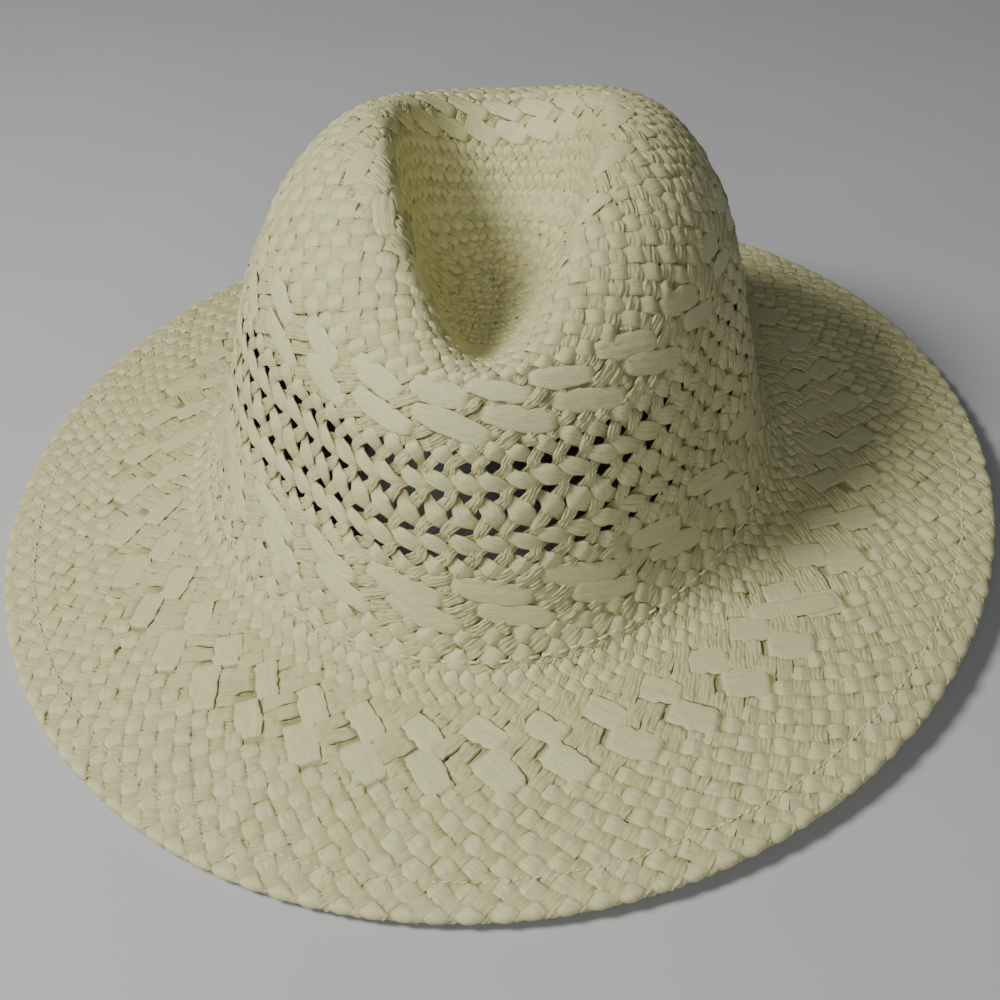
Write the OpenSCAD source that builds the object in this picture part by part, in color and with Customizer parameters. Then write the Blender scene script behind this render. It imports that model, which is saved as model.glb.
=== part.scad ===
// Wide-brimmed fedora with a teardrop crown, plaited in one piece from paper straw.
// It stands on its brim: the origin is in the middle of its footprint on the ground,
// the front of the hat faces -Y, +X is the wearer's left and +Z is up.
// The crown and brim are one continuous plait; each band where the plait changes is a
// sub-part of its own, and neighbouring bands meet face to face.

/* [Head opening] */
// Width of the straw across the head opening
head_w = 177; // [160:1:195]
// Length of the straw along the head opening
head_l = 205.5; // [185:0.5:225]

/* [Crown] */
// Height of the two side ridges in the net of the crown
ridge_h = 125; // [112:1:135]
// Height of the pinched front in the net of the crown
front_h = 94; // [86:1:104]
// Height of the rounded back in the net of the crown
back_h = 110; // [100:1:122]
// Height of the floor of the teardrop dent
dent_h = 74; // [66:1:80]
// Height where the crown turns into the brim at the front
root_front_h = 12.5; // [10:0.5:16]
// Height where the crown turns into the brim at the sides and back
root_back_h = 17; // [13:0.5:21]
// How far the top of the crown leans towards +X
crown_lean = 7; // [0:0.5:10]

/* [Pinches] */
// Depth of the pinch on the +X side
pinch_depth_a = 11; // [4:0.5:13]
// Depth of the pinch on the -X side
pinch_depth_b = 8; // [3:0.5:12]
// Bearing of the +X pinch from the front
pinch_turn_a = 46; // [36:1:56]
// Bearing of the -X pinch from the front
pinch_turn_b = 38; // [30:1:50]
// How far the +X pinch turns back for each mm of height
pinch_slant_a = 0.6; // [0:0.1:0.8]
// How far the -X pinch turns back for each mm of height
pinch_slant_b = 0.2; // [0:0.1:0.8]
// Height of the deepest point of both pinches
pinch_h = 59; // [50:1:66]
// Height from the deepest point to where a pinch has faded by two thirds
pinch_rise = 26; // [20:1:30]
// Bearing from the deepest point to where a pinch has faded by two thirds
pinch_spread = 18; // [14:1:24]

/* [Brim] */
// Width of the brim from the root of the crown to its edge
brim_w = 72; // [55:1:85]
// Height of the brim where it leaves the crown
brim_root_h = 12.5; // [11:0.5:16]
// Height of the brim's edge at the front
edge_front_h = 2; // [0:0.5:6]
// Height of the brim's edge at the sides
edge_side_h = 4.5; // [2:0.5:10]
// Height of the brim's edge at the back
edge_back_h = 1.2; // [0:0.2:6]
// How far the edge rises on the +X side and drops on the -X side
brim_tilt = 3.6; // [0:0.2:5]

/* [Plait] */
// Thickness of the plaited straw
straw_t = 1.8; // [1.2:0.1:2.4]
// Number of strands of each direction round the crown
strands = 63; // [48:3:72]
// Length of plait from the root of the crown to the middle of the tip
plait_l = 180; // [170:1:195]
// Depth of the plain rows above the root of the crown
base_rows = 11; // [8:0.5:14]
// Depth of the lower band of long floats
low_float = 16; // [12:0.5:20]
// Depth of the upper band of long floats
high_float = 18.5; // [14:0.5:22]
// Distance of the ridge band of floats from the middle of the tip
ridge_from_tip = 50; // [44:1:56]
// Depth of the ridge band of floats
ridge_float = 16; // [12:0.5:20]
// Radius of the plaited start in the middle of the tip
start_r = 12; // [8:1:16]
// Depth of the plain rows of the brim next to the crown
brim_rows = 16; // [12:0.5:20]
// Depth of the brim's band of long floats
brim_float = 20; // [15:0.5:26]

/* [Openwork] */
// Height of a row of gaps
gap_h = 3.6; // [2.5:0.1:4.2]
// Share of a strand's spacing that a gap opens at its wide end
gap_wide = 0.46; // [0.3:0.01:0.56]
// Share of a strand's spacing that a gap opens at its narrow end
gap_narrow = 0.2; // [0.12:0.01:0.3]
// Depth of the plain row above the first and below the last row of gaps
edge_row = 4.4; // [3:0.1:6]
// Depth of the row of pillows between the middle rows of gaps
pillow_row = 6.2; // [5:0.1:7.5]
// Depth of the row of slanting braid between two rows of gaps
braid_row = 4.8; // [4:0.1:6]

/* [Hem] */
// Width of the edge turned under the brim
hem_w = 10; // [8:0.5:14]
// Space between the brim and the turned-under edge
hem_slit = 0.3; // [0.2:0.05:0.6]
// Diameter of the shaping wire in the hem's fold
wire_d = 1.2; // [0.8:0.1:1.6]
// Space round the shaping wire
wire_gap = 0.15; // [0.1:0.05:0.3]

/* [Sweatband] */
// Height of the sweatband
sweat_h = 25; // [18:0.5:30]
// Thickness of the sweatband
sweat_t = 1.2; // [0.8:0.1:2]
// Space between the straw and the sweatband
sweat_gap = 0.3; // [0.2:0.05:0.5]
// Height of the sweatband's lower edge above the root of the crown
sweat_foot = 1.5; // [0:0.5:4]
// Width of the tape over the sweatband's join at the back
join_w = 14; // [8:1:24]
// Thickness of the tape over the sweatband's join
join_t = 0.8; // [0.5:0.1:1.2]

/* [Hidden] */

STRAW = "#d8d2b4";
STRAW_SMOOTH = "#e2dcc0";
STRAW_OPEN = "#cdc6a2";
CLOTH = "#e6e0cc";
STEEL = "#9a9a94";

half_w = head_w / 2;
half_l = head_l / 2;

// The crown and brim are one smooth surface, drawn through a net of rings. Each ring of
// the dent is [half width, reach to the front, reach to the back] in shares of the head
// opening, then its climb from the dent's floor to the ridge at the front, the sides and
// the back, then how much it narrows towards the front.
dent_net = [
  [0, 0, 0, 0, 0, 0, 0],
  [0.11, 0.14, 0.12, 0, 0.01, 0.08, 0],
  [0.21, 0.31, 0.25, 0.10, 0.12, 0.28, 0.10],
  [0.28, 0.465, 0.37, 0.30, 0.37, 0.56, 0.17],
  [0.315, 0.58, 0.45, 0.50, 0.75, 0.83, 0.20],
  [0.34, 0.66, 0.515, 0.80, 1, 0.97, 0.20]
];
// Rings of the outside, from the ridge down to the root: the same shares, then the climb
// from the root to the ridge.
wall_net = [
  [0.45, 0.73, 0.61, 1, 1, 1, 0.18],
  [0.61, 0.795, 0.72, 0.975, 0.935, 0.945, 0.13],
  [0.775, 0.855, 0.825, 0.865, 0.78, 0.84, 0.08],
  [0.893, 0.908, 0.905, 0.656, 0.565, 0.63, 0.04],
  [0.938, 0.952, 0.955, 0.41, 0.352, 0.40, 0],
  [1, 1, 1, 0.178, 0.153, 0.172, 0],
  [1.05, 1.063, 1.049, 0, 0, 0, 0]
];
// Rings of the brim, as shares of its width.
brim_net = [0.12, 0.375, 0.69, 1];
first_wall = len(dent_net);
root = first_wall + len(wall_net) - 1;
last = root + len(brim_net);
root_ring = wall_net[len(wall_net) - 1];

function mix(a, b, t) = a + (b - a) * t;
function bell(x, spread) = exp(-pow(x / spread, 2));
// A height that is one value at the front, one at the sides and one at the back.
function by_side(front, side, back, a) =
  side + ((cos(a) > 0 ? front : back) - side) * pow(cos(a), 2);
function by_end(front, back, a) = cos(a) > 0 ? front : back;

function ring_size(k) =
  k < first_wall ? dent_net[k]
  : k <= root ? wall_net[k - first_wall]
  : root_ring;
function out_on_brim(k) = k > root ? brim_net[k - root - 1] : 0;

function dent_z(d, a) = by_side(mix(dent_h, front_h, d[3]), mix(dent_h, ridge_h, d[4]),
  mix(dent_h, back_h, d[5]), a);
function wall_z(d, a) = by_side(mix(root_front_h, front_h, d[3]),
  mix(root_back_h, ridge_h, d[4]), mix(root_back_h, back_h, d[5]), a);
function brim_z(t, a) = by_side(mix(brim_root_h, edge_front_h, t),
  mix(brim_root_h, edge_side_h, t), mix(brim_root_h, edge_back_h, t), a)
  + brim_tilt * sin(a) * t;
function ring_z(k, a) =
  k < first_wall ? dent_z(ring_size(k), a)
  : k <= root ? wall_z(ring_size(k), a)
  : brim_z(out_on_brim(k), a);

// Each pinch pushes the straw in, deepest at one height, and turns back as it climbs.
pinch_foot_h = 30;
function pinch_grip(k) =
  k < first_wall - 1 || k > root ? 0
  : k == first_wall - 1 ? 0.4
  : k == first_wall ? 0.8
  : k == root ? 0.6
  : 1;
function bearing(a) = a > 180 ? a - 360 : a;
function pinch_at(side, depth, turn, slant, z, a) = depth * bell(z - pinch_h, pinch_rise)
  * bell(bearing(a) - side * (turn + slant * (z - pinch_foot_h)), pinch_spread);
function pinched(k, z, a) = pinch_grip(k)
  * (pinch_at(1, pinch_depth_a, pinch_turn_a, pinch_slant_a, z, a)
    + pinch_at(-1, pinch_depth_b, pinch_turn_b, pinch_slant_b, z, a));
function leaned(k, z) = k > root ? 0
  : crown_lean * max(0, z - root_back_h) / (back_h - root_back_h);

function ring_point(k, a) =
  let (
    d = ring_size(k),
    out = brim_w * out_on_brim(k),
    x = (half_w * d[0] + out) * sin(a) * (1 - d[6] * cos(a)),
    y = -(half_l * by_end(d[1], d[2], a) + out) * cos(a),
    z = ring_z(k, a),
    r = norm([x, y]),
    keep = r > 0 ? 1 - pinched(k, z, a) / r : 1
  )
  [x * keep + leaned(k, z), y * keep, z];

// A meridian of the surface is a cubic B-spline through its column of ring points.
fine = 8;
function blend(t) = [
  pow(1 - t, 3), 3 * pow(t, 3) - 6 * t * t + 4, -3 * pow(t, 3) + 3 * t * t + 3 * t + 1,
  pow(t, 3)
] / 6;
function meridian(a) =
  let (
    net = [for (k = [0:last]) ring_point(k, a)],
    ends = concat([2 * net[0] - net[1]], net, [2 * net[last] - net[last - 1]])
  )
  [for (i = [0:last * fine])
    let (j = min(floor(i / fine), last - 1))
    blend(i / fine - j) * [ends[j], ends[j + 1], ends[j + 2], ends[j + 3]]];
function run_lengths(p) =
  [for (i = 0, s = 0; i < len(p); s = s + (i < len(p) - 1 ? norm(p[i + 1] - p[i]) : 0),
    i = i + 1) s];

// Places on the hat are given as [strand, row]: the strand counts round from the front
// and the row is the length of plait up from the root, below zero on the brim. Near the
// root a row keeps its distance all round, and above level_l the rows share what is left.
level_l = 75;
brim_l = brim_w + 1.5;
function plait_row(up, all_up) = up < level_l ? up
  : level_l + (up - level_l) * (plait_l - level_l) / (all_up - level_l);
function rows_of(p) =
  let (s = run_lengths(p), foot = s[root * fine], end = s[last * fine])
  [for (v = s) v <= foot ? plait_row(foot - v, foot) : -(v - foot) * brim_l / (end - foot)];

half_steps = 2 * strands;
step_a = 360 / half_steps;
columns = [for (c = [0:half_steps - 1]) meridian(c * step_a)];
tables = [for (p = columns)
  let (w = rows_of(p))
  [for (axis = [0:2]) [for (i = [len(p) - 1:-1:0]) [w[i], p[i][axis]]]]];
function on_column(c, w) =
  let (t = tables[(c + half_steps) % half_steps])
  [lookup(w, t[0]), lookup(w, t[1]), lookup(w, t[2])];
function face_point(s, w) =
  let (c = floor(2 * s + 0.001), f = max(0, 2 * s - c))
  f < 0.001 ? on_column(c, w) : mix(on_column(c, w), on_column(c + 1, w), f);

// Outward direction of the surface.
feel = 1;
function unit(v) = v / norm(v);
function outward(s, w) =
  let (
    lo = max(w - feel, -brim_l),
    hi = min(w + feel, plait_l - feel)
  )
  unit(cross(face_point(s + 0.5, w) - face_point(s - 0.5, w),
    face_point(s, hi) - face_point(s, lo)));
function skin(s, w, depth) = w >= plait_l - 0.001
  ? on_column(0, plait_l) - [0, 0, depth]
  : face_point(s, w) - depth * outward(s, w);

// The lowest point of the hem lies on the ground and the footprint is centred.
hem_t = 2 * straw_t + hem_slit;
roll_r = hem_t / 2;
soles = [for (s = [0:strands - 1]) skin(s, roll_r - brim_l, hem_t)];
rims = [for (s = [0:strands - 1]) skin(s, -brim_l, roll_r)];
ground = min([for (p = soles) p[2]]);
mid_x = (max([for (p = rims) p[0]]) + min([for (p = rims) p[0]])) / 2;
mid_y = (max([for (p = rims) p[1]]) + min([for (p = rims) p[1]])) / 2;
module on_ground() { translate([-mid_x, -mid_y, -ground]) children(); }

// A closed ring: loop is a section of [row, depth] points, swept round the hat. It runs
// down the outside first and back up the inside. The face that closes the loop is split
// along the same diagonal as the rim it meets.
function swept_points(loop) =
  [for (s = [0:strands - 1]) for (q = loop) skin(s, q[0], q[1])];
function swept_faces(n) =
  [for (s = [0:strands - 1]) for (i = [0:n - 1])
    let (
      t = (s + 1) % strands, j = (i + 1) % n,
      a = s * n + i, b = s * n + j, c = t * n + j, d = t * n + i
    )
    each i < n - 1 ? [[a, c, b], [a, d, c]] : [[a, d, b], [b, d, c]]];
module swept(loop) {
  on_ground() polyhedron(swept_points(loop), swept_faces(len(loop)), 10);
}

// Rows evenly spaced from one border to another, at the outside and back at the inside.
function border_rows(high, low, n) = [for (i = [0:n]) mix(high, low, i / n)];
function shell_loop(rows, top = 0, thick = straw_t) = concat(
  [for (i = [0:len(rows) - 1]) [rows[i], top]],
  [for (i = [len(rows) - 1:-1:0]) [rows[i], top + thick]]);
module plait_band(high, low, n) { swept(shell_loop(border_rows(high, low, n))); }

// Borders of the bands, from the tip down and out.
start_w = plait_l - start_r;
ridge_top_w = plait_l - ridge_from_tip;
ridge_foot_w = ridge_top_w - ridge_float;
open_foot_w = base_rows + low_float;
open_h = 4 * gap_h + 2 * edge_row + 2 * braid_row + pillow_row;
open_top_w = open_foot_w + open_h;
high_float_w = open_top_w + high_float;
brim_float_w = -brim_rows - brim_float;
hem_top_w = hem_w - brim_l;

module tip_start() {
  color(STRAW) on_ground() {
    rows = border_rows(start_w + start_r / 2, start_w, 1);
    ring = [for (w = rows) for (s = [0:strands - 1]) skin(s, w, 0)];
    back = [for (w = rows) for (s = [0:strands - 1]) skin(s, w, straw_t)];
    n = strands;
    points = concat([skin(0, plait_l, 0), skin(0, plait_l, straw_t)], ring, back);
    top = 2;
    under = 2 + 2 * n;
    faces = [for (s = [0:n - 1]) let (t = (s + 1) % n) each [
      [0, top + t, top + s],
      [top + s, top + n + t, top + n + s],
      [top + s, top + t, top + n + t],
      [1, under + s, under + t],
      [under + t, under + n + s, under + n + t],
      [under + t, under + s, under + n + s],
      [top + n + s, under + n + t, under + n + s],
      [top + n + s, top + n + t, under + n + t]
    ]];
    polyhedron(points, faces, 10);
  }
}
module tip_plait() { color(STRAW) plait_band(start_w, ridge_top_w, 5); }
module ridge_float_band() { color(STRAW_SMOOTH) plait_band(ridge_top_w, ridge_foot_w, 4); }
module shoulder_plait() { color(STRAW) plait_band(ridge_foot_w, high_float_w, 6); }
module upper_float_band() { color(STRAW_SMOOTH) plait_band(high_float_w, open_top_w, 3); }
module lower_float_band() { color(STRAW_SMOOTH) plait_band(open_foot_w, base_rows, 2); }
module crown_base_plait() { color(STRAW) plait_band(base_rows, 0, 2); }
module brim_inner_plait() { color(STRAW) plait_band(0, -brim_rows, 3); }
module brim_float_band() { color(STRAW_SMOOTH) plait_band(-brim_rows, brim_float_w, 2); }
module brim_outer_plait() { color(STRAW) plait_band(brim_float_w, hem_top_w, 2); }

// The openwork: rows of gaps, a braid or a row of pillows between them, and links between
// the gaps of a row. A gap is wide at the top, and those of the last row at the foot.
gap_rows = 4;
function bars_above(i) = ceil(i / 2) * braid_row + floor(i / 2) * pillow_row;
function gap_top_w(i) = open_top_w - edge_row - i * gap_h - bars_above(i);
function gap_share(i, foot) =
  (i == gap_rows - 1 ? foot == 1 : foot == 0) ? gap_wide : gap_narrow;
gap_edges = [for (i = [0:gap_rows - 1]) for (foot = [0, 1])
  [gap_top_w(i) - foot * gap_h, gap_share(i, foot) / 2]];
open_layer = 2 * strands * (1 + len(gap_edges));
function edge_id(e, s, right) = strands + 2 * strands * e + 2 * (s % strands) + right;
function foot_id(s) = open_layer - strands + s % strands;
function both(a, b, c) = [[a, b, c], [open_layer + a, open_layer + c, open_layer + b]];
function plate(tl, tr, br, bl) = concat(both(tl, tr, br), both(tl, br, bl));
function rim(a, b) = [[a, b, open_layer + b], [a, open_layer + b, open_layer + a]];
function top_rim(a, b) = [[a, b, open_layer + a], [b, open_layer + b, open_layer + a]];
// A gap's top and foot edge, the link after it, and the plates below the gap and the link.
function gap_faces(i, s) =
  let (e = 2 * i, f = e + 1, t = s + 1)
  concat(
    rim(edge_id(e, s, 0), edge_id(e, s, 1)),
    rim(edge_id(f, s, 1), edge_id(f, s, 0)),
    plate(edge_id(e, s, 1), edge_id(e, t, 0), edge_id(f, t, 0), edge_id(f, s, 1)),
    rim(edge_id(e, s, 1), edge_id(f, s, 1)),
    rim(edge_id(f, t, 0), edge_id(e, t, 0)),
    i == gap_rows - 1 ? [] : concat(
      plate(edge_id(f, s, 0), edge_id(f, s, 1), edge_id(f + 1, s, 1), edge_id(f + 1, s, 0)),
      plate(edge_id(f, s, 1), edge_id(f, t, 0), edge_id(f + 1, t, 0), edge_id(f + 1, s, 1))));
function border_faces(s) =
  let (t = (s + 1) % strands, e = len(gap_edges) - 1)
  concat(
    top_rim(t, s),
    both(s, edge_id(0, s, 1), edge_id(0, s, 0)),
    plate(s, t, edge_id(0, t, 0), edge_id(0, s, 1)),
    both(edge_id(e, s, 0), edge_id(e, s, 1), foot_id(s)),
    plate(edge_id(e, s, 1), edge_id(e, t, 0), foot_id(t), foot_id(s)),
    rim(foot_id(s), foot_id(t)));
module openwork_band() {
  places = concat(
    [for (s = [0:strands - 1]) [s, open_top_w]],
    [for (e = gap_edges) for (s = [0:strands - 1]) each [[s - e[1], e[0]], [s + e[1], e[0]]]],
    [for (s = [0:strands - 1]) [s, open_foot_w]]);
  points = [for (depth = [0, straw_t]) for (p = places) skin(p[0], p[1], depth)];
  faces = [for (s = [0:strands - 1]) each concat(border_faces(s),
    [for (i = [0:gap_rows - 1]) each gap_faces(i, s)])];
  color(STRAW_OPEN) on_ground() polyhedron(points, faces, 10);
}

// The hem: the edge of the brim rolls under and lies flat against it, with a channel for
// the shaping wire along the fold.
channel_r = wire_d / 2 + wire_gap;
channel_w = roll_r - brim_l;
function round_about(w, depth, r, from, to, n) =
  [for (i = [0:n]) let (a = mix(from, to, i / n)) [w + r * cos(a), depth - r * sin(a)]];
module brim_hem() {
  mouth = asin(hem_slit / 2 / channel_r);
  color(STRAW) swept(concat(
    [[hem_top_w, 0]],
    round_about(roll_r - brim_l, roll_r, roll_r, 90, 270, 4),
    [[hem_top_w, hem_t], [hem_top_w, hem_t - straw_t]],
    round_about(channel_w, roll_r, channel_r, 360 - mouth, mouth, 5),
    [[hem_top_w, straw_t]]));
}
module brim_wire() {
  color(STEEL) swept([for (i = [0:5])
    [channel_w + wire_d / 2 * cos(60 * i), roll_r - wire_d / 2 * sin(60 * i)]]);
}

// The sweatband stands inside the head opening, sewn through the straw at its foot, and a
// tape covers its join at the back.
sweat_top = straw_t + sweat_gap;
sweat_rows = border_rows(sweat_foot + sweat_h, sweat_foot, 4);
module sweatband() { color(CLOTH) swept(shell_loop(sweat_rows, sweat_top, sweat_t)); }
sew_gap = 0.15;
module sweatband_join() {
  half_s = join_w / 2 * strands / (PI * (half_w + half_l));
  sides = [for (i = [-1:1]) strands / 2 + half_s * i];
  top = sweat_top + sweat_t + sew_gap;
  loop = shell_loop(sweat_rows, top, join_t);
  n = len(loop);
  points = [for (s = sides) for (q = loop) skin(s, q[0], q[1])];
  m = len(sweat_rows);
  skins = [for (k = [0, 1]) for (i = [0:n - 1])
    let (j = (i + 1) % n, a = k * n + i, b = k * n + j, c = b + n, d = a + n)
    each [[a, c, b], [a, d, c]]];
  ends = [for (i = [0:m - 2])
    let (u = n - 1 - i)
    each [[i, i + 1, u - 1], [i, u - 1, u],
      [2 * n + i, 2 * n + u - 1, 2 * n + i + 1], [2 * n + i, 2 * n + u, 2 * n + u - 1]]];
  color(CLOTH) on_ground() polyhedron(points, concat(skins, ends), 10);
}

tip_start();
tip_plait();
ridge_float_band();
shoulder_plait();
upper_float_band();
openwork_band();
lower_float_band();
crown_base_plait();
brim_inner_plait();
brim_float_band();
brim_outer_plait();
brim_hem();
brim_wire();
sweatband();
sweatband_join();
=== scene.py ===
import math

import bpy
import numpy as np
from mathutils import Matrix, Vector


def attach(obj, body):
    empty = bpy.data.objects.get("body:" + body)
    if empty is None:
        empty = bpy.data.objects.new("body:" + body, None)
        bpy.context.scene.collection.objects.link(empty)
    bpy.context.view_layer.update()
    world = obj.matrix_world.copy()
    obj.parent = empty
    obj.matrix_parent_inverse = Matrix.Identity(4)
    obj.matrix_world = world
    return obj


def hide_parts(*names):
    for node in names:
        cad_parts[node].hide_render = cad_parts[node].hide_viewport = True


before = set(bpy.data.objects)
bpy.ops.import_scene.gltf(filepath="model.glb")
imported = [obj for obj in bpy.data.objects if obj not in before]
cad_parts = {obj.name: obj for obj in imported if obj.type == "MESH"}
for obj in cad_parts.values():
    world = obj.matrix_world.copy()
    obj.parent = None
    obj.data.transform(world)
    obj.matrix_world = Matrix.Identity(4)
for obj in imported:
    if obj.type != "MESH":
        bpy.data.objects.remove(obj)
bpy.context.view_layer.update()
chance = np.random.default_rng(58)


# ---------------------------------------------------------------- the hat's surface
# Lengths are in millimetres until a mesh is made. A place on the hat is a bearing from
# the front, in degrees, and a row: the length of plait up from the root of the crown,
# below zero on the brim.

HALF_W, HALF_L = 88.5, 102.75
RIDGE_H, FRONT_H, BACK_H, DENT_H = 125, 94, 110, 74
ROOT_FRONT_H, ROOT_BACK_H = 12.5, 17
CROWN_LEAN = 7
BRIM_W, BRIM_ROOT_H, BRIM_TILT = 72, 12.5, 3.6
EDGE_FRONT_H, EDGE_SIDE_H, EDGE_BACK_H = 2, 4.5, 1.2
PINCHES = [(1, 11, 46, 0.6), (-1, 8, 38, 0.2)]
PINCH_H, PINCH_RISE, PINCH_SPREAD, PINCH_FOOT_H = 59, 26, 18, 30
STRAW_T, HEM_T = 1.8, 3.9
PLAIT_L, LEVEL_L, BRIM_L = 180, 75, 73.5
# The rings of the surface, counted outwards: the dent's come first, then the wall's down
# to the root of the crown, then the brim's.
DENT_RINGS, ROOT_RING, RINGS = 6, 12, 17

DENT_NET = [
    [0, 0, 0, 0, 0, 0, 0],
    [0.11, 0.14, 0.12, 0, 0.01, 0.08, 0],
    [0.21, 0.31, 0.25, 0.10, 0.12, 0.28, 0.10],
    [0.28, 0.465, 0.37, 0.30, 0.37, 0.56, 0.17],
    [0.315, 0.58, 0.45, 0.50, 0.75, 0.83, 0.20],
    [0.34, 0.66, 0.515, 0.80, 1, 0.97, 0.20],
]
WALL_NET = [
    [0.45, 0.73, 0.61, 1, 1, 1, 0.18],
    [0.61, 0.795, 0.72, 0.975, 0.935, 0.945, 0.13],
    [0.775, 0.855, 0.825, 0.865, 0.78, 0.84, 0.08],
    [0.893, 0.908, 0.905, 0.656, 0.565, 0.63, 0.04],
    [0.938, 0.952, 0.955, 0.41, 0.352, 0.40, 0],
    [1, 1, 1, 0.178, 0.153, 0.172, 0],
    [1.05, 1.063, 1.049, 0, 0, 0, 0],
]
BRIM_NET = [0.12, 0.375, 0.69, 1]
PINCH_GRIP = [0, 0, 0, 0, 0, 0.4, 0.8, 1, 1, 1, 1, 1, 0.6, 0, 0, 0, 0]


def mix(a, b, t):
    return a + (b - a) * t


def unit(v):
    return v / np.maximum(np.linalg.norm(v, axis=-1, keepdims=True), 1e-12)


def ease(t):
    t = np.clip(t, 0, 1)
    return t * t * (3 - 2 * t)


class HatSurface:
    """The smooth surface of crown and brim, as a fine grid of bearings and rows."""

    TURN = 0.5
    ROW = 0.5

    def __init__(self):
        bearings = np.radians(np.arange(0, 360, self.TURN))
        net = np.array([self.ring(k, bearings) for k in range(RINGS)])
        fine = 24
        ends = np.concatenate([[2 * net[0] - net[1]], net, [2 * net[-1] - net[-2]]])
        steps = np.arange((RINGS - 1) * fine + 1) / fine
        at = np.minimum(steps.astype(int), RINGS - 2)
        t = (steps - at)[:, None, None]
        curve = ((1 - t) ** 3 * ends[at] + (3 * t**3 - 6 * t * t + 4) * ends[at + 1]
                 + (-3 * t**3 + 3 * t * t + 3 * t + 1) * ends[at + 2]
                 + t**3 * ends[at + 3]) / 6
        runs = np.linalg.norm(np.diff(curve, axis=0), axis=-1)
        run = np.concatenate([np.zeros((1, runs.shape[1])), np.cumsum(runs, axis=0)])
        self.rows = np.arange(-BRIM_L, PLAIT_L + self.ROW / 2, self.ROW)
        self.points = np.empty((len(bearings), len(self.rows), 3))
        for b in range(len(bearings)):
            foot, end = run[ROOT_RING * fine, b], run[-1, b]
            up = foot - run[:, b]
            shared = LEVEL_L + (up - LEVEL_L) * (PLAIT_L - LEVEL_L) / (foot - LEVEL_L)
            row = np.where(up < LEVEL_L, up, shared)
            row = np.where(up < 0, up * BRIM_L / (end - foot), row)
            for axis in range(3):
                self.points[b, :, axis] = np.interp(
                    self.rows, row[::-1], curve[::-1, b, axis])
        round_way = np.roll(self.points, -2, 0) - np.roll(self.points, 2, 0)
        up_way = np.gradient(self.points, axis=1)
        self.normals = unit(np.cross(round_way, up_way))
        tip = ease((self.rows - PLAIT_L + 5) / 4)[None, :, None]
        self.normals = unit(mix(self.normals, np.array([0.0, 0.0, 1.0]), tip))
        edge = self.points[:, 0]
        under = edge[:, 2] - HEM_T * self.normals[:, 0, 2]
        self.shift = -np.array([
            (edge[:, 0].max() + edge[:, 0].min()) / 2,
            (edge[:, 1].max() + edge[:, 1].min()) / 2,
            under.min()])
        self.points += self.shift

    @staticmethod
    def ring(k, a):
        cos, sin = np.cos(a), np.sin(a)
        front = cos > 0

        def by_side(at_front, at_side, at_back):
            return at_side + (np.where(front, at_front, at_back) - at_side) * cos**2

        d = DENT_NET[k] if k < DENT_RINGS else WALL_NET[min(k, ROOT_RING) - DENT_RINGS]
        out = BRIM_NET[k - ROOT_RING - 1] if k > ROOT_RING else 0
        if k < DENT_RINGS:
            z = by_side(mix(DENT_H, FRONT_H, d[3]), mix(DENT_H, RIDGE_H, d[4]),
                        mix(DENT_H, BACK_H, d[5]))
        elif k <= ROOT_RING:
            z = by_side(mix(ROOT_FRONT_H, FRONT_H, d[3]), mix(ROOT_BACK_H, RIDGE_H, d[4]),
                        mix(ROOT_BACK_H, BACK_H, d[5]))
        else:
            z = by_side(mix(BRIM_ROOT_H, EDGE_FRONT_H, out),
                        mix(BRIM_ROOT_H, EDGE_SIDE_H, out),
                        mix(BRIM_ROOT_H, EDGE_BACK_H, out)) + BRIM_TILT * sin * out
        x = (HALF_W * d[0] + BRIM_W * out) * sin * (1 - d[6] * cos)
        y = -(HALF_L * np.where(front, d[1], d[2]) + BRIM_W * out) * cos
        turn = (np.degrees(a) + 180) % 360 - 180
        push = sum(
            depth * np.exp(-((z - PINCH_H) / PINCH_RISE) ** 2)
            * np.exp(-((turn - side * (at + slant * (z - PINCH_FOOT_H)))
                       / PINCH_SPREAD) ** 2)
            for side, depth, at, slant in PINCHES)
        keep = 1 - PINCH_GRIP[k] * push / np.maximum(np.hypot(x, y), 1e-9)
        lean = 0 if k > ROOT_RING else CROWN_LEAN * np.maximum(0, z - ROOT_BACK_H) / (
            BACK_H - ROOT_BACK_H)
        return np.stack([x * keep + lean, y * keep, z + 0 * a], axis=-1)

    def grid(self, table, bearing, row):
        b = np.mod(bearing, 360) / self.TURN
        r = np.clip((row + BRIM_L) / self.ROW, 0, len(self.rows) - 1.001)
        b0, r0 = b.astype(int), r.astype(int)
        fb, fr = (b - b0)[..., None], (r - r0)[..., None]
        n = table.shape[0]
        b0, b1 = b0 % n, (b0 + 1) % n
        return mix(mix(table[b0, r0], table[b1, r0], fb),
                   mix(table[b0, r0 + 1], table[b1, r0 + 1], fb), fr)

    def place(self, bearing, row, depth=STRAW_T / 2):
        """Points and outward directions. Rows past the edge go round the fold of the
        hem and back under the brim."""
        fold_r = (HEM_T - STRAW_T) / 2 if np.ndim(depth) == 0 else 1.05
        over = np.maximum(-BRIM_L + fold_r + STRAW_T / 2 - row, 0)
        turn = np.minimum(over / fold_r, math.pi)
        back = np.maximum(over - math.pi * fold_r, 0)
        flat = np.where(over > 0,
                        -BRIM_L + fold_r + STRAW_T / 2 - fold_r * np.sin(turn) + back, row)
        point = self.grid(self.points, bearing, flat)
        out = unit(self.grid(self.normals, bearing, flat))
        inner = self.grid(self.points, bearing, flat + 1)
        inner = unit(inner - self.grid(self.points, bearing, flat))
        sink = (depth + fold_r * (1 - np.cos(turn)))[..., None]
        spin = turn[..., None]
        return point - out * sink, out * np.cos(spin) - inner * np.sin(spin)


hat = HatSurface()


# ---------------------------------------------------------------- shader helpers

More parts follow.
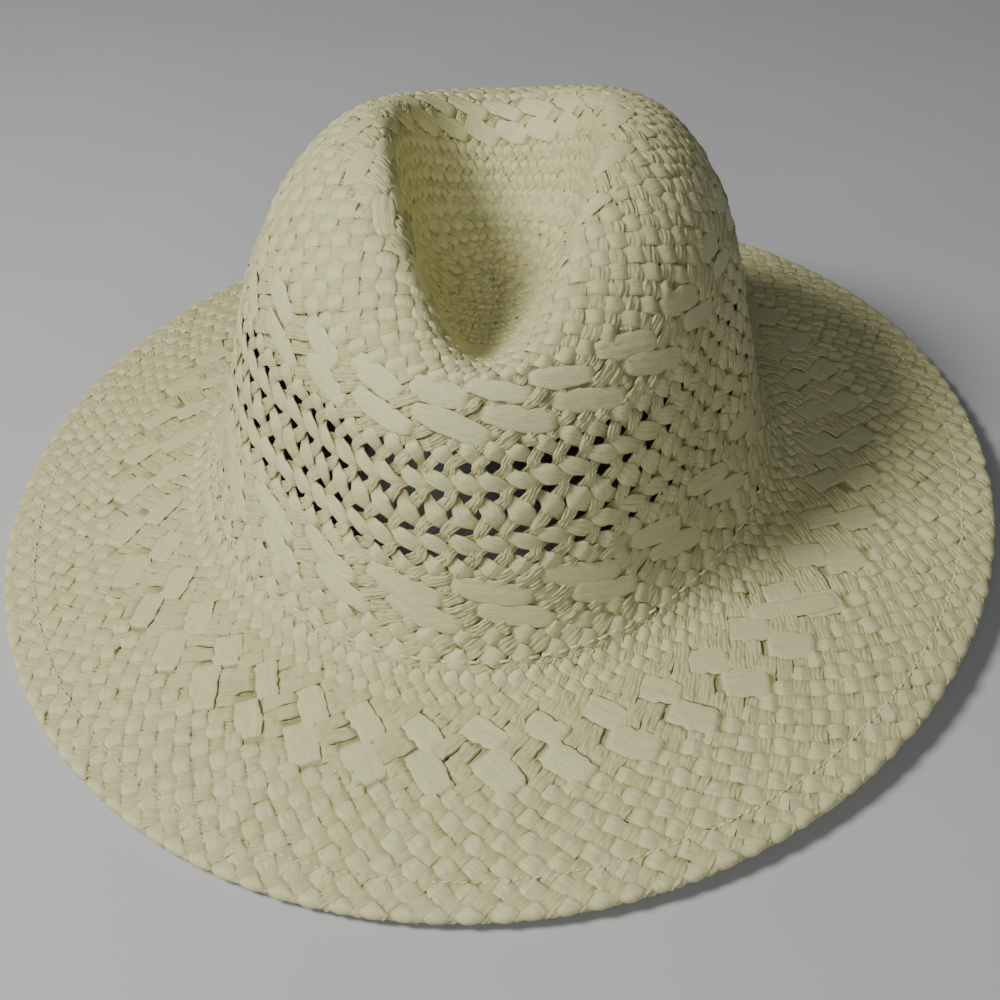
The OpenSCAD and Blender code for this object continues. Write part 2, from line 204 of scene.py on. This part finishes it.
class Sock:
    """A shader socket that can be added, multiplied and so on."""

    def __init__(self, tree, socket):
        self.tree, self.socket = tree, socket

    def node(self, kind, settings=None, output=0, **inputs):
        made = self.tree.nodes.new(kind)
        for name, value in (settings or {}).items():
            setattr(made, name, value)
        for name, value in inputs.items():
            wanted = name.replace("_", " ").strip()
            place = made.inputs[int(wanted[1:])] if wanted[0] == "i" and wanted[1:].isdigit() \
                else made.inputs[wanted]
            if isinstance(value, Sock):
                self.tree.links.new(value.socket, place)
            else:
                place.default_value = value
        return Sock(self.tree, made.outputs[output])

    def math(self, what, a, b=0.0):
        return self.node("ShaderNodeMath", {"operation": what}, i0=a, i1=b)

    def __add__(self, other):
        return self.math("ADD", self, other)

    def __mul__(self, other):
        return self.math("MULTIPLY", self, other)

    def __sub__(self, other):
        return self.math("SUBTRACT", self, other)

    def __rsub__(self, other):
        return self.math("SUBTRACT", other, self)

    __rmul__ = __mul__

    def step(self, low, high):
        return self.node("ShaderNodeMapRange", {"interpolation_type": "SMOOTHSTEP"},
                         Value=self, From_Min=low, From_Max=high)

    def blend(self, a, b, mode="MIX"):
        """Colour a where this is 0 and colour b where it is 1."""
        return self.node("ShaderNodeMix", {"data_type": "RGBA", "blend_type": mode},
                         output=2, i0=self, i6=a, i7=b)


def material(name):
    made = bpy.data.materials.new(name)
    made.use_nodes = True
    tree = made.node_tree
    shader = next(n for n in tree.nodes if n.type == "BSDF_PRINCIPLED")
    return made, Sock(tree, None), shader


def colour(r, g, b):
    """A display colour as shader light."""
    def line(v):
        v /= 255
        return v / 12.92 if v <= 0.04045 else ((v + 0.055) / 1.055) ** 2.4
    return (line(r), line(g), line(b), 1)


def straw_material(name, light, dark, sheen, streaks):
    made, tool, shader = material(name)
    lay = tool.node("ShaderNodeUVMap", {"uv_map": "lay"})
    tint = tool.node("ShaderNodeAttribute", {"attribute_name": "tint"}, output=2)
    low = tool.node("ShaderNodeAttribute", {"attribute_name": "low"}, output=2)
    where = tool.node("ShaderNodeTexCoord", output=3)
    stretch = tool.node("ShaderNodeMapping", Vector=lay, Scale=(streaks, 3.0, 1.0))
    fibre = tool.node("ShaderNodeTexNoise", Vector=stretch, Scale=5.0, Detail=4.0,
                      Roughness=0.6)
    long_lay = tool.node("ShaderNodeMapping", Vector=lay, Scale=(2.0, 6.0, 1.0))
    patch = tool.node("ShaderNodeTexNoise", Vector=long_lay, Scale=3.0, Detail=2.0)
    cloud = tool.node("ShaderNodeTexNoise", Vector=where, Scale=18.0, Detail=2.0)
    pale = (fibre.step(0.25, 0.75) * 0.42 + tint * 0.36 + patch * 0.34
            + cloud * 0.2 - 0.16)
    base = pale.blend(dark, light)
    # Points that lie low among the strands, in crevices and where a strand dives under
    # another, are painted darker olive: this is painted shade.
    painted_shade = low.step(0.05, 0.95)
    base = (painted_shade * 0.8).blend(base, colour(128, 117, 62))
    tool.tree.links.new(base.socket, shader.inputs["Base Color"])
    rough = 0.62 - fibre * 0.14 - sheen * (1 - painted_shade)
    tool.tree.links.new(rough.socket, shader.inputs["Roughness"])
    shader.inputs["Specular IOR Level"].default_value = 0.38
    bump = tool.node("ShaderNodeBump", Strength=0.7, Distance=0.0006, Height=fibre)
    tool.tree.links.new(bump.socket, shader.inputs["Normal"])
    return made


STRAW_SMOOTH = straw_material("straw_smooth", colour(224, 222, 172), colour(200, 196, 144),
                              0.14, 3.0)
STRAW_CREASED = straw_material("straw_creased", colour(220, 217, 166),
                               colour(190, 185, 130), 0.08, 4.5)


# ---------------------------------------------------------------- meshes

def mesh_piece(name, grids, profile_closed, skin_material):
    """One piece from grids of points [strand, station, profile, xyz] in millimetres, with
    a lay of (across, along), a tint and a lowness for each point."""
    all_points, all_faces, all_lay, all_tint, all_low = [], [], [], [], []
    start = 0
    for points, lay, tint, low in grids:
        s, m, q, _ = points.shape
        index = start + np.arange(s * m * q).reshape(s, m, q)
        start += s * m * q
        nxt = np.roll(index, -1, axis=2) if profile_closed else index[:, :, 1:]
        own = index if profile_closed else index[:, :, :-1]
        quads = np.stack([own[:, :-1], nxt[:, :-1], nxt[:, 1:], own[:, 1:]], axis=-1)
        all_faces.append(quads.reshape(-1, 4))
        all_points.append(points.reshape(-1, 3))
        all_lay.append(lay.reshape(-1, 2))
        all_tint.append(np.broadcast_to(tint, (s, m, q)).reshape(-1))
        all_low.append(np.broadcast_to(low, (s, m, q)).reshape(-1))
    points = np.concatenate(all_points) * 0.001
    faces = np.concatenate(all_faces)
    lay = np.concatenate(all_lay)
    mesh = bpy.data.meshes.new(name)
    mesh.vertices.add(len(points))
    mesh.vertices.foreach_set("co", points.astype(np.float32).ravel())
    mesh.loops.add(faces.size)
    mesh.loops.foreach_set("vertex_index", faces.astype(np.int32).ravel())
    mesh.polygons.add(len(faces))
    mesh.polygons.foreach_set("loop_start", np.arange(0, faces.size, 4, dtype=np.int32))
    mesh.update(calc_edges=True)
    mesh.polygons.foreach_set("use_smooth", np.ones(len(faces), bool))
    uv = mesh.uv_layers.new(name="lay")
    uv.data.foreach_set("uv", lay[faces.ravel()].astype(np.float32).ravel())
    # The low layer carries the painted shade of crevices and of strands that pass under
    # others.
    for word, values in (("tint", all_tint), ("low", all_low)):
        layer = mesh.attributes.new(word, "FLOAT", "POINT")
        layer.data.foreach_set("value", np.concatenate(values).astype(np.float32))
    mesh.materials.append(skin_material)
    mesh.validate()
    obj = bpy.data.objects.new(name, mesh)
    bpy.context.scene.collection.objects.link(obj)
    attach(obj, "root")
    return obj


# Sections of a strand, as [across, height] from edge to edge over the top and back
# underneath: one is smooth, the other a bundle of creased folds.
ACROSS = np.array([-0.5, -0.46, -0.37, -0.28, -0.19, -0.1, -0.01, 0.08, 0.17, 0.26, 0.35,
                   0.45, 0.5, 0.22, -0.22])
SMOOTH_HIGH = np.array([-0.3, 0.35, 0.72, 0.9, 0.96, 1.0, 0.97, 1.0, 0.95, 0.9, 0.74,
                        0.36, -0.3, -0.6, -0.6])
CREASED_HIGH = np.array([-0.3, 0.45, 0.72, 0.4, 0.88, 1.0, 0.46, 0.94, 0.98, 0.42, 0.8,
                         0.5, -0.3, -0.6, -0.6])


def soft_noise(strands, count, per_knot, scale):
    """Smooth random values along each strand, with a knot every few stations."""
    knots = chance.normal(0, scale, (strands, int(count / per_knot) + 3))
    t = np.arange(count) / per_knot
    at = t.astype(int)
    return mix(knots[:, at], knots[:, at + 1], ease(t - at))


def degree_length(bearing, row):
    """Length in millimetres of one degree round the hat."""
    ahead, _ = hat.place(bearing + 0.5, row)
    behind, _ = hat.place(bearing - 0.5, row)
    return np.maximum(np.linalg.norm(ahead - behind, axis=-1), 0.03)


def ribbons(bearing, row, lift, width, puff, high, crinkle, tint, low):
    """Ribbons along paths [strand, station] on the hat. Every point of a section lies on
    the hat's own surface, so a ribbon bends with it. High is the section's height at each
    point and crinkle how unevenly the straw is folded."""
    strands, count = bearing.shape
    degree = degree_length(bearing, row)
    round_way = np.gradient(bearing, axis=1) * degree
    up_way = np.gradient(row, axis=1)
    step = np.maximum(np.hypot(round_way, up_way), 1e-9)
    across = np.broadcast_to(ACROSS, (strands, count, len(ACROSS))).copy()
    high = np.broadcast_to(high, across.shape).copy()
    for q in range(1, len(ACROSS) - 3):
        high[..., q] += crinkle * soft_noise(strands, count, 2.4, 1.0)
        across[..., q] += 0.02 * soft_noise(strands, count, 4.0, 1.0)
    across[..., :2] -= 0.035 * soft_noise(strands, count, 3.0, 1.0)[..., None]
    across[..., -4:-2] += 0.035 * soft_noise(strands, count, 3.0, 1.0)[..., None]
    beside = width[..., None] * across
    point, out = hat.place(bearing[..., None] - beside * (up_way / step / degree)[..., None],
                           row[..., None] + beside * (round_way / step)[..., None])
    rise = lift[..., None] + puff[..., None] * high
    run = np.cumsum(step, axis=1) - step[:, :1]
    lay = np.stack(np.broadcast_arrays(
        beside * 0.2 + chance.uniform(0, 40, (strands, 1, 1)), run[..., None] * 0.02),
        axis=-1)
    # Lowness grows where a section sits low among its neighbours; the straw paints it as shade
    # in the crevices.
    sunk = np.clip(0.45 - rise / 1.3, 0, 1)
    return (point + out * rise[..., None], lay, tint[..., None],
            np.clip(sunk + low[..., None], 0, 1))


# ---------------------------------------------------------------- the plait
# Strands lie on a lattice of half steps: column c counts round the hat and r counts rows
# outwards. Smooth strand i runs through c = 2i + r and creased strand j through
# c = 2j - r. In plain rows the smooth strands are on top in every other row.

class Floats:
    """A row of wide smooth strips, each a strand that passes over many others. They lie
    every few columns round the hat and slant down in the direction of the bearing."""

    def __init__(self, row, per_turn, shift, length, width, slant, taper):
        self.row, self.per_turn, self.shift = row, per_turn, shift
        self.length, self.width, self.slant, self.taper = length, width, slant, taper

    def width_at(self, t):
        """Width at t, from -1 at the upper end to 1 at the lower."""
        return self.width * (1 - self.taper * np.abs(t) ** 2.4)

    def covers(self, bearing, row, degree):
        """How far a place lies under a strip, from 0 to 1."""
        pitch = 360 / self.per_turn
        offset = np.mod(bearing - self.shift + pitch / 2, pitch) - pitch / 2
        cos, sin = math.cos(self.slant), math.sin(self.slant)
        most = 0.0 * bearing
        for neighbour in (-1, 0, 1):
            x = (offset + neighbour * pitch) * degree
            y = row - self.row
            along, side = x * cos - y * sin, x * sin + y * cos
            t = along / self.length * 2
            edge = self.width_at(np.clip(t, -1, 1)) / 2
            inside = ease((edge - np.abs(side)) / 1.2 + 0.5)
            most = np.maximum(most, inside * ease((1.02 - np.abs(t)) / 0.16))
        return most

    def strips(self, smooth_floor=0.36):
        n, count = self.per_turn, 27
        t = np.linspace(-1, 1, count)[None, :] + np.zeros((n, 1))
        slant = self.slant * (1 + 0.12 * chance.normal(0, 1, (n, 1)))
        bend = 0.05 * chance.normal(0, 1, (n, 1))
        along = t * self.length / 2 * (1 + 0.05 * chance.normal(0, 1, (n, 1)))
        row = self.row - along * np.sin(slant + bend * t) + 0.25 * chance.normal(0, 1, (n, 1))
        start = self.shift + np.arange(n)[:, None] * 360 / n
        bearing = start + along * np.cos(slant) / degree_length(start + 0 * t, row)
        dive = ease((np.abs(t) - 0.72) / 0.3)
        lift = smooth_floor * (1 - 2.1 * dive) + 0.04 * chance.normal(0, 1, (n, 1))
        width = self.width_at(t) * (1 + 0.07 * chance.normal(0, 1, (n, 1)))
        folds = SMOOTH_HIGH - 0.55 * (chance.uniform(0, 1, (n, 1, len(ACROSS))) > 0.78) * (
            np.abs(ACROSS) < 0.4)
        tint = 0.55 + 0.3 * chance.uniform(0, 1, (n, 1)) + 0 * t
        # The ends of each strip, where it dives under the plait, are painted in shade.
        return ribbons(bearing, row, lift, width, 0.24 - 0.08 * dive, folds, 0.2, tint,
                       -0.05 + 0.3 * dive)


class Lattice:
    def __init__(self, strands, first_row, rows, smooth_parity, bands=(), drift=0.0):
        self.n = strands
        self.first, self.rows = first_row, np.array(rows, float)
        self.parity, self.bands, self.drift = smooth_parity, bands, drift
        self.jitter = {k: chance.normal(0, 1, (strands, len(rows) + 3)) for k in range(4)}

    def row(self, r):
        """Row of the hat at lattice row r, through the table by smooth curves."""
        t = np.clip(r - self.first, 0, len(self.rows) - 1.0001)
        at = t.astype(int)
        f = t - at
        p = np.concatenate([[2 * self.rows[0] - self.rows[1]], self.rows,
                            [2 * self.rows[-1] - self.rows[-2]] * 2])
        a, b, c, d = p[at], p[at + 1], p[at + 2], p[at + 3]
        return b + 0.5 * f * (c - a + f * (2 * a - 5 * b + 4 * c - d
                                           + f * (3 * (b - c) + d - a)))

    def smooth_on_top(self, r):
        """Whether smooth strands lie over creased ones in row r: never in the bands,
        where only the wide strips do."""
        top = np.mod(r, 2) == self.parity
        for start, end in self.bands:
            top = top & ~((r >= start) & (r <= end))
        return top

    def height(self, smooth, r):
        """How far a strand is on top, from 0 under to 1 over."""
        r0 = np.floor(r).astype(int)
        s = mix(self.smooth_on_top(r0).astype(float),
                self.smooth_on_top(r0 + 1).astype(float), ease(r - r0))
        return s if smooth else 1 - s

    def wobble(self, key, strand, r):
        t = np.clip(r - self.first, 0, len(self.rows) - 1.001)
        at = t.astype(int)
        table = self.jitter[key]
        return mix(table[strand % self.n, at], table[strand % self.n, at + 1],
                   ease(t - at))


def zone_value(r, marks):
    """A value that changes with the row r, from [row, value] marks."""
    marks = np.array(marks, float)
    return np.interp(r, marks[:, 0], marks[:, 1])


def strand_room(lattice, degree, r):
    """Distance between neighbouring strands of one set, square to them."""
    column = degree * 180 / lattice.n
    half_row = np.abs(lattice.row(r + 0.5) - lattice.row(r - 0.5))
    return 2 * column * half_row / np.hypot(column, half_row)


def plait(lattice, smooth, r_from, r_to, stations, look):
    strand = np.arange(lattice.n)[:, None]
    count = int(round((r_to - r_from) * stations)) + 1
    r = np.linspace(r_from, r_to, count)[None, :] + 0.0 * strand
    sign = 1 if smooth else -1
    c = 2 * strand + sign * (r + look.swing(r))
    key = 0 if smooth else 2
    c = c + 0.12 * lattice.wobble(key, strand, r) + lattice.drift * r
    bearing = c * 180 / lattice.n
    row = lattice.row(r) + 0.22 * lattice.wobble(3 - key, strand, r)
    s = lattice.height(smooth, r)
    loose = lattice.wobble(key + 1, strand, r)
    degree = degree_length(bearing, row)
    room = strand_room(lattice, degree, r)
    rise = zone_value(r, look.rise)
    crease = zone_value(r, look.crease)[..., None]
    if smooth:
        fill = look.pressed(zone_value(r, look.smooth_fill), bearing)
        width = room * fill * (0.9 + 0.16 * s + 0.05 * loose)
        lift = rise * (2 * s - 1) + 0.06 * loose
        puff = 0.30 + 0.30 * s
        high = mix(SMOOTH_HIGH, CREASED_HIGH, crease)
        crinkle = 0.12
    else:
        fill = look.pressed(zone_value(r, look.creased_fill), bearing)
        width = room * fill * (0.95 + 0.08 * s + 0.06 * loose)
        lift = rise * (1.7 * s - 1) + 0.06 * loose
        puff = 0.32 + 0.22 * s
        high, crinkle = CREASED_HIGH, 0.3
    for family in look.floats:
        under = family.covers(bearing, row, degree)
        lift = mix(lift, np.minimum(lift, -0.42), under)
        puff = puff * (1 - 0.3 * under)
    tint = chance.uniform(0, 1, (lattice.n, 1)) * 0.6 + 0.2 + 0.1 * loose
    # Strands are painted in shade where they pass under the other set.
    return ribbons(bearing, row, lift, width, puff, high, crinkle, tint, 0.22 * (1 - s))


class Look:
    """How full the strands lie in their room, how far they rise over each other, how
    creased the smooth ones are and where they swing, each from [row, value] marks, and
    the rows of floats that lie over them."""

    def __init__(self, smooth_fill, creased_fill, rise, crease=((0, 0),), swings=(),
                 floats=()):
        self.smooth_fill, self.creased_fill = smooth_fill, creased_fill
        self.rise, self.crease, self.swings, self.floats = rise, crease, swings, floats

    def pressed(self, fill, bearing):
        """Gaps are pressed shut in the hollow of the +X pinch."""
        turn = np.mod(bearing + 180, 360) - 180
        shut = 0.75 * np.exp(-((turn - 62) / 26) ** 2)
        return mix(fill, np.maximum(fill, 0.98), shut)

    def swing(self, r):
        """Where strands lie flat along a braid row and stand up through the gaps."""
        out = 0.0 * r
        for centre, size in self.swings:
            out = out + size * np.sin(np.pi * (r - centre)) * (np.abs(r - centre) < 1)
        return out


# Rows of the crown from the tip outwards, as their places up the plait. Row 0 is the
# root of the crown.
crown_up = ([0.0, 2.6, 5.6, 8.6, 11.2] + [13.2 + 2 * n for n in range(8)]
            + [29.4, 32.8, 37.2, 41.0, 46.0, 51.0, 55.6, 60.2, 64.2, 66.6]
            + [68.7 + 2.1 * n for n in range(8)]
            + [86.4 + 3.07 * n for n in range(9)] + [114.0]
            + [116.0 + 2 * n for n in range(8)]
            + [132.4 + 2.35 * n for n in range(11)])
crown_rows = crown_up[::-1]
crown = Lattice(63, 1 - len(crown_rows), crown_rows, 1,
                bands=[(-12, -5), (-30, -23), (-48, -41)])
low_floats = [Floats(22.4, 21, 3.0, 27.5, 7.2, 0.28, 0.6),
              Floats(14.4, 21, 7.4, 26.5, 6.8, 0.28, 0.6)]
high_floats = [Floats(81.0, 21, 5.0, 20, 7.4, 0.3, 0.5),
               Floats(71.8, 21, 9.6, 25.5, 7.4, 0.3, 0.55)]
ridge_floats = [Floats(126.0, 21, 2.0, 15, 6.4, 0.42, 0.45),
                Floats(118.0, 21, 8.0, 17, 6.6, 0.42, 0.45)]
crown_look = Look(
    smooth_fill=[(-59, 1.1), (-22, 1.1), (-21, 1.0), (-20, 0.52), (-19, 0.84),
                 (-18, 0.48), (-17, 0.98), (-16, 0.5), (-15, 0.84), (-14, 0.58),
                 (-13, 1.05), (-12, 1.1), (0, 1.1)],
    creased_fill=[(-59, 1.06), (-22, 1.02), (-20, 0.58), (-19, 0.74), (-18, 0.54),
                  (-17, 0.86), (-16, 0.56), (-15, 0.74), (-14, 0.64), (-12, 1.06),
                  (0, 1.06)],
    rise=[(-59, 0.34), (-31, 0.46), (-20, 0.46), (-13, 0.46), (0, 0.5)],
    crease=[(-22, 0.1), (-20, 0.9), (-19, 0.8), (-18, 0.9), (-17, 0.25), (-16, 0.9),
            (-15, 0.8), (-14, 0.9), (-13, 0.2)],
    swings=[(-15, 0.34), (-19, 0.34)],
    floats=low_floats + high_floats + ridge_floats)
tip_ring = Lattice(32, 0, [168.6 - 2.3 * n for n in range(10)], 1)
tip_centre = Lattice(16, 0, [179.4, 178.0, 175.8, 173.6, 171.3, 169.0, 166.7, 164.4], 1)
tip_look = Look(smooth_fill=[(0, 1.1)], creased_fill=[(0, 1.04)], rise=[(0, 0.3)])

brim_down = ([0.0, -3.0, -6.0, -9.0, -12.0] + [-15.1 - 3.1 * n for n in range(8)]
             + [-40.0 - 3.2 * n for n in range(16)])
brim = Lattice(126, 0, brim_down, 1, bands=[(5, 12)], drift=-0.03)
brim_floats = [Floats(-20.0, 42, 1.6, 15.0, 8.8, 0.78, 0.16),
               Floats(-32.0, 42, 3.4, 16.0, 9.4, 0.78, 0.16)]
brim_look = Look(
    smooth_fill=[(0, 1.1), (21, 1.1), (24, 1.14), (28, 1.1)],
    creased_fill=[(0, 1.06), (21, 1.06), (24, 1.12), (28, 1.04)],
    rise=[(0, 0.42), (21, 0.4), (23, 0.26), (25, 0.26), (27, 0.36), (28, 0.36)],
    floats=brim_floats)


def spread(lattice, look, rows, stations, name, nodes=()):
    """The two sets of strands between two lattice rows, standing for CAD nodes."""
    smooth = mesh_piece(name + "_smooth_strands",
                        [plait(lattice, True, rows[0], rows[1], stations, look)],
                        True, STRAW_SMOOTH)
    mesh_piece(name + "_creased_strands",
               [plait(lattice, False, rows[0], rows[1], stations, look)],
               True, STRAW_CREASED)
    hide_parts(*nodes)


spread(brim, brim_look, (0, 5), 6, "brim_inner", ["brim_inner_plait"])
spread(brim, brim_look, (5, 13), 6, "brim_float", ["brim_float_band"])
spread(brim, brim_look, (13, 21), 6, "brim_outer", ["brim_outer_plait"])
spread(brim, brim_look, (21, 27), 6, "brim_edge", ["brim_hem"])
spread(crown, crown_look, (-13, 0.6), 7, "crown_foot",
       ["crown_base_plait", "lower_float_band"])
spread(crown, crown_look, (-22, -13), 10, "openwork", ["openwork_band"])
spread(crown, crown_look, (-40, -22), 5, "shoulder",
       ["upper_float_band", "shoulder_plait"])
spread(crown, crown_look, (-59, -40), 5, "ridge", ["ridge_float_band"])
spread(tip_ring, tip_look, (0, 9), 6, "tip_ring", ["tip_plait"])
spread(tip_centre, tip_look, (0, 7), 6, "tip_centre", ["tip_start"])
for name, families in (("low_float_strips", low_floats), ("high_float_strips", high_floats),
                       ("ridge_float_strips", ridge_floats),
                       ("brim_float_strips", brim_floats)):
    mesh_piece(name, [family.strips() for family in families], True, STRAW_SMOOTH)


# One strand of the brim has slipped out of its row and lies across its neighbours.
SLIP_BEARING, SLIP_ROW, SLIP_WIDTH = (51.5, 5.5), (-25.5, -10.5), 6.6
t = np.linspace(-1, 1, 27)[None, :]
slip_b = SLIP_BEARING[0] + SLIP_BEARING[1] * t
slip_r = SLIP_ROW[0] + SLIP_ROW[1] * t
slip_dive = ease((np.abs(t) - 0.78) / 0.24)
# Its ends, where it dives under its neighbours, are painted in shade.
mesh_piece("slipped_strand",
           [ribbons(slip_b, slip_r, 0.62 - 1.1 * slip_dive,
                    SLIP_WIDTH * (1 - 0.3 * t**4),
                    0.26 + 0 * t, SMOOTH_HIGH, 0.16, 0.7 + 0 * t, 0.25 * slip_dive)],
           True, STRAW_SMOOTH)


# ---------------------------------------------------------------- sewing and sweatband

def stitches(row, length, pitch, lift, width):
    """A row of stitches round the hat. Each one dips into the straw at its ends."""
    turn = float(np.sum(degree_length(np.arange(360.0), np.full(360, row))))
    n = round(turn / pitch)
    t = np.linspace(-1, 1, 7)[None, :] + np.zeros((n, 1))
    start = np.arange(n)[:, None] * 360 / n + chance.normal(0, 0.05, (n, 1))
    rows = row + chance.normal(0, 0.12, (n, 1)) + 0 * t
    bearing = start + t * length / 2 / degree_length(start + 0 * t, rows)
    dip = ease((np.abs(t) - 0.5) / 0.5)
    return ribbons(bearing, rows, lift - 0.8 * dip, width + 0 * t, 0.2 + 0 * t,
                   SMOOTH_HIGH, 0.0, 0.5 + 0 * t, 0 * t)


def cloth_material(name, light, dark, ribs):
    made, tool, shader = material(name)
    lay = tool.node("ShaderNodeUVMap", {"uv_map": "lay"})
    stretch = tool.node("ShaderNodeMapping", Vector=lay, Scale=(1.0, ribs, 1.0))
    yarn = tool.node("ShaderNodeTexNoise", Vector=stretch, Scale=6.0, Detail=3.0)
    tone = yarn.step(0.3, 0.7).blend(dark, light)
    tool.tree.links.new(tone.socket, shader.inputs["Base Color"])
    shader.inputs["Roughness"].default_value = 0.92
    shader.inputs["Sheen Weight"].default_value = 0.25
    bump = tool.node("ShaderNodeBump", Strength=0.5, Distance=0.0003, Height=yarn)
    tool.tree.links.new(bump.socket, shader.inputs["Normal"])
    return made


THREAD = cloth_material("sewing_thread", colour(232, 229, 190), colour(205, 200, 155), 1.0)
BAND_CLOTH = cloth_material("sweatband_cloth", colour(186, 158, 96), colour(150, 124, 70), 3.0)
TAPE_CLOTH = cloth_material("sweatband_tape", colour(192, 166, 106), colour(158, 132, 80), 1.0)

# Rows of the sweatband's and the hem's sewing.
SWEAT_SEW_ROW, HEM_SEW_ROW = 1.6, -63.0
SWEAT_FOOT, SWEAT_TOP, SWEAT_T = 1.5, 26.5, 1.2
SWEAT_DEPTH, TAPE_DEPTH, TAPE_T, TAPE_HALF = 2.1, 3.45, 0.8, 7.0


def band_piece(name, bearing, depth, thick, rib, skin_material):
    """A flat band inside the head opening, through a row of bearings. Its long edges are
    rounded and its ends closed; rib is the height of its ribs."""
    rows = np.linspace(SWEAT_FOOT + 0.3, SWEAT_TOP - 0.3, 9)
    row = np.concatenate([rows, [SWEAT_TOP], rows[::-1], [SWEAT_FOOT]])
    deep = np.concatenate([np.zeros(9), [0.5], np.ones(9), [0.5]])
    b = bearing[:, None] + 0 * row
    wave = 0.5 + 0.5 * np.cos(np.pi * np.arange(len(bearing)))[:, None]
    inset = rib * wave * np.sin(np.pi * (row - SWEAT_FOOT) / (SWEAT_TOP - SWEAT_FOOT)) ** 0.3
    depths = depth + deep * (thick - inset)
    depths[[0, -1]] = depth + thick / 2
    point, _ = hat.place(b, row + 0 * b, depths)
    point[[0, -1]] = point[[1, -2]].mean(axis=1, keepdims=True)
    lay = np.stack(np.broadcast_arrays(row * 0.2, bearing[:, None] * 0.4), axis=-1)
    return mesh_piece(name, [(point[None], lay[None], np.full((1, 1, 1), 0.5),
                              np.zeros((1, 1, 1)))], True, skin_material)


middle, _ = hat.place(np.arange(0, 360, 2.0), np.full(180, 14.0),
                      np.full(180, SWEAT_DEPTH + SWEAT_T / 2))
band_l = float(np.sum(np.linalg.norm(middle - np.roll(middle, 1, 0), axis=-1))) * 0.001
band = band_piece("sweatband_ribbed", np.linspace(180.03, 539.97, 961), SWEAT_DEPTH,
                  SWEAT_T, 0.16, BAND_CLOTH)
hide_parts("sweatband")
half_turn = TAPE_HALF / float(degree_length(np.array([180.0]), np.array([14.0]))[0])
tape = band_piece("sweatband_tape", np.linspace(180 - half_turn, 180 + half_turn, 41),
                  TAPE_DEPTH, TAPE_T, 0.08, TAPE_CLOTH)
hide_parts("sweatband_join")
mesh_piece("sweatband_sewing", [stitches(SWEAT_SEW_ROW, 3.4, 4.4, 0.95, 0.8)], True, THREAD)
mesh_piece("hem_sewing", [stitches(HEM_SEW_ROW, 1.9, 2.7, 0.8, 0.55)], True, THREAD)

steel, tool, shader = material("wire_steel")
scratch = tool.node("ShaderNodeTexNoise", Scale=400.0, Detail=2.0)
tone = scratch.blend(colour(128, 129, 130), colour(160, 161, 160))
tool.tree.links.new(tone.socket, shader.inputs["Base Color"])
shader.inputs["Metallic"].default_value = 1.0
shader.inputs["Roughness"].default_value = 0.38
wire = bpy.data.objects["brim_wire"]
wire.data.materials.clear()
wire.data.materials.append(steel)


# ---------------------------------------------------------------- stage

def area_light(name, place, aim, size, power, tone):
    data = bpy.data.lights.new(name, "AREA")
    data.shape, data.size, data.energy, data.color = "DISK", size, power, tone
    lamp = bpy.data.objects.new(name, data)
    bpy.context.scene.collection.objects.link(lamp)
    lamp.location = place
    lamp.rotation_mode = "QUATERNION"
    lamp.rotation_quaternion = (Vector(aim) - Vector(place)).to_track_quat("-Z", "Y")
    return lamp


area_light("key_light", (-0.69, -0.3, 0.92), (0, 0, 0.04), 0.32, 13.6, (1.0, 0.985, 0.95))
area_light("fill_light", (0.0, -1.0, 0.75), (0, -0.1, 0.05), 0.8, 3.6, (0.98, 0.99, 1.0))
world = bpy.data.worlds.new("studio")
bpy.context.scene.world = world
world.use_nodes = True
world.node_tree.nodes["Background"].inputs["Color"].default_value = (0.86, 0.9, 1.0, 1)
world.node_tree.nodes["Background"].inputs["Strength"].default_value = 0.06

floor_mesh = bpy.data.meshes.new("floor")
reach = 3.0
floor_mesh.from_pydata([(-reach, -reach, -0.0002), (reach, -reach, -0.0002),
                        (reach, reach, -0.0002), (-reach, reach, -0.0002)], [],
                       [(0, 1, 2, 3)])
floor = bpy.data.objects.new("floor", floor_mesh)
bpy.context.scene.collection.objects.link(floor)
floor_look, tool, shader = material("floor_paper")
grain = tool.node("ShaderNodeTexNoise", Scale=90.0, Detail=3.0)
tone = grain.blend(colour(184, 185, 187), colour(192, 193, 194))
tool.tree.links.new(tone.socket, shader.inputs["Base Color"])
shader.inputs["Roughness"].default_value = 0.9
floor_mesh.materials.append(floor_look)

CAMERA_OFF, LENS, SENSOR = 450, 48.06, 36.0
turn, height, roll = math.radians(4.5), math.radians(40.0), math.radians(-4.0)
target = Vector((3.2, -19.4, 0.0)) + Vector([float(v) for v in hat.shift])
back = Vector((math.sin(turn) * math.cos(height), -math.cos(turn) * math.cos(height),
               math.sin(height)))
right = (-back).cross(Vector((0, 0, 1))).normalized()
up = right.cross(-back)
right_r = right * math.cos(roll) + up * math.sin(roll)
up_r = up * math.cos(roll) - right * math.sin(roll)
camera_data = bpy.data.cameras.new("camera")
camera_data.lens, camera_data.sensor_width = LENS, SENSOR
camera_data.clip_start, camera_data.clip_end = 0.02, 20
camera = bpy.data.objects.new("camera", camera_data)
bpy.context.scene.collection.objects.link(camera)
place = (target + back * CAMERA_OFF) * 0.001
camera.matrix_world = Matrix((
    (right_r.x, up_r.x, back.x, place.x), (right_r.y, up_r.y, back.y, place.y),
    (right_r.z, up_r.z, back.z, place.z), (0, 0, 0, 1)))
bpy.context.scene.camera = camera
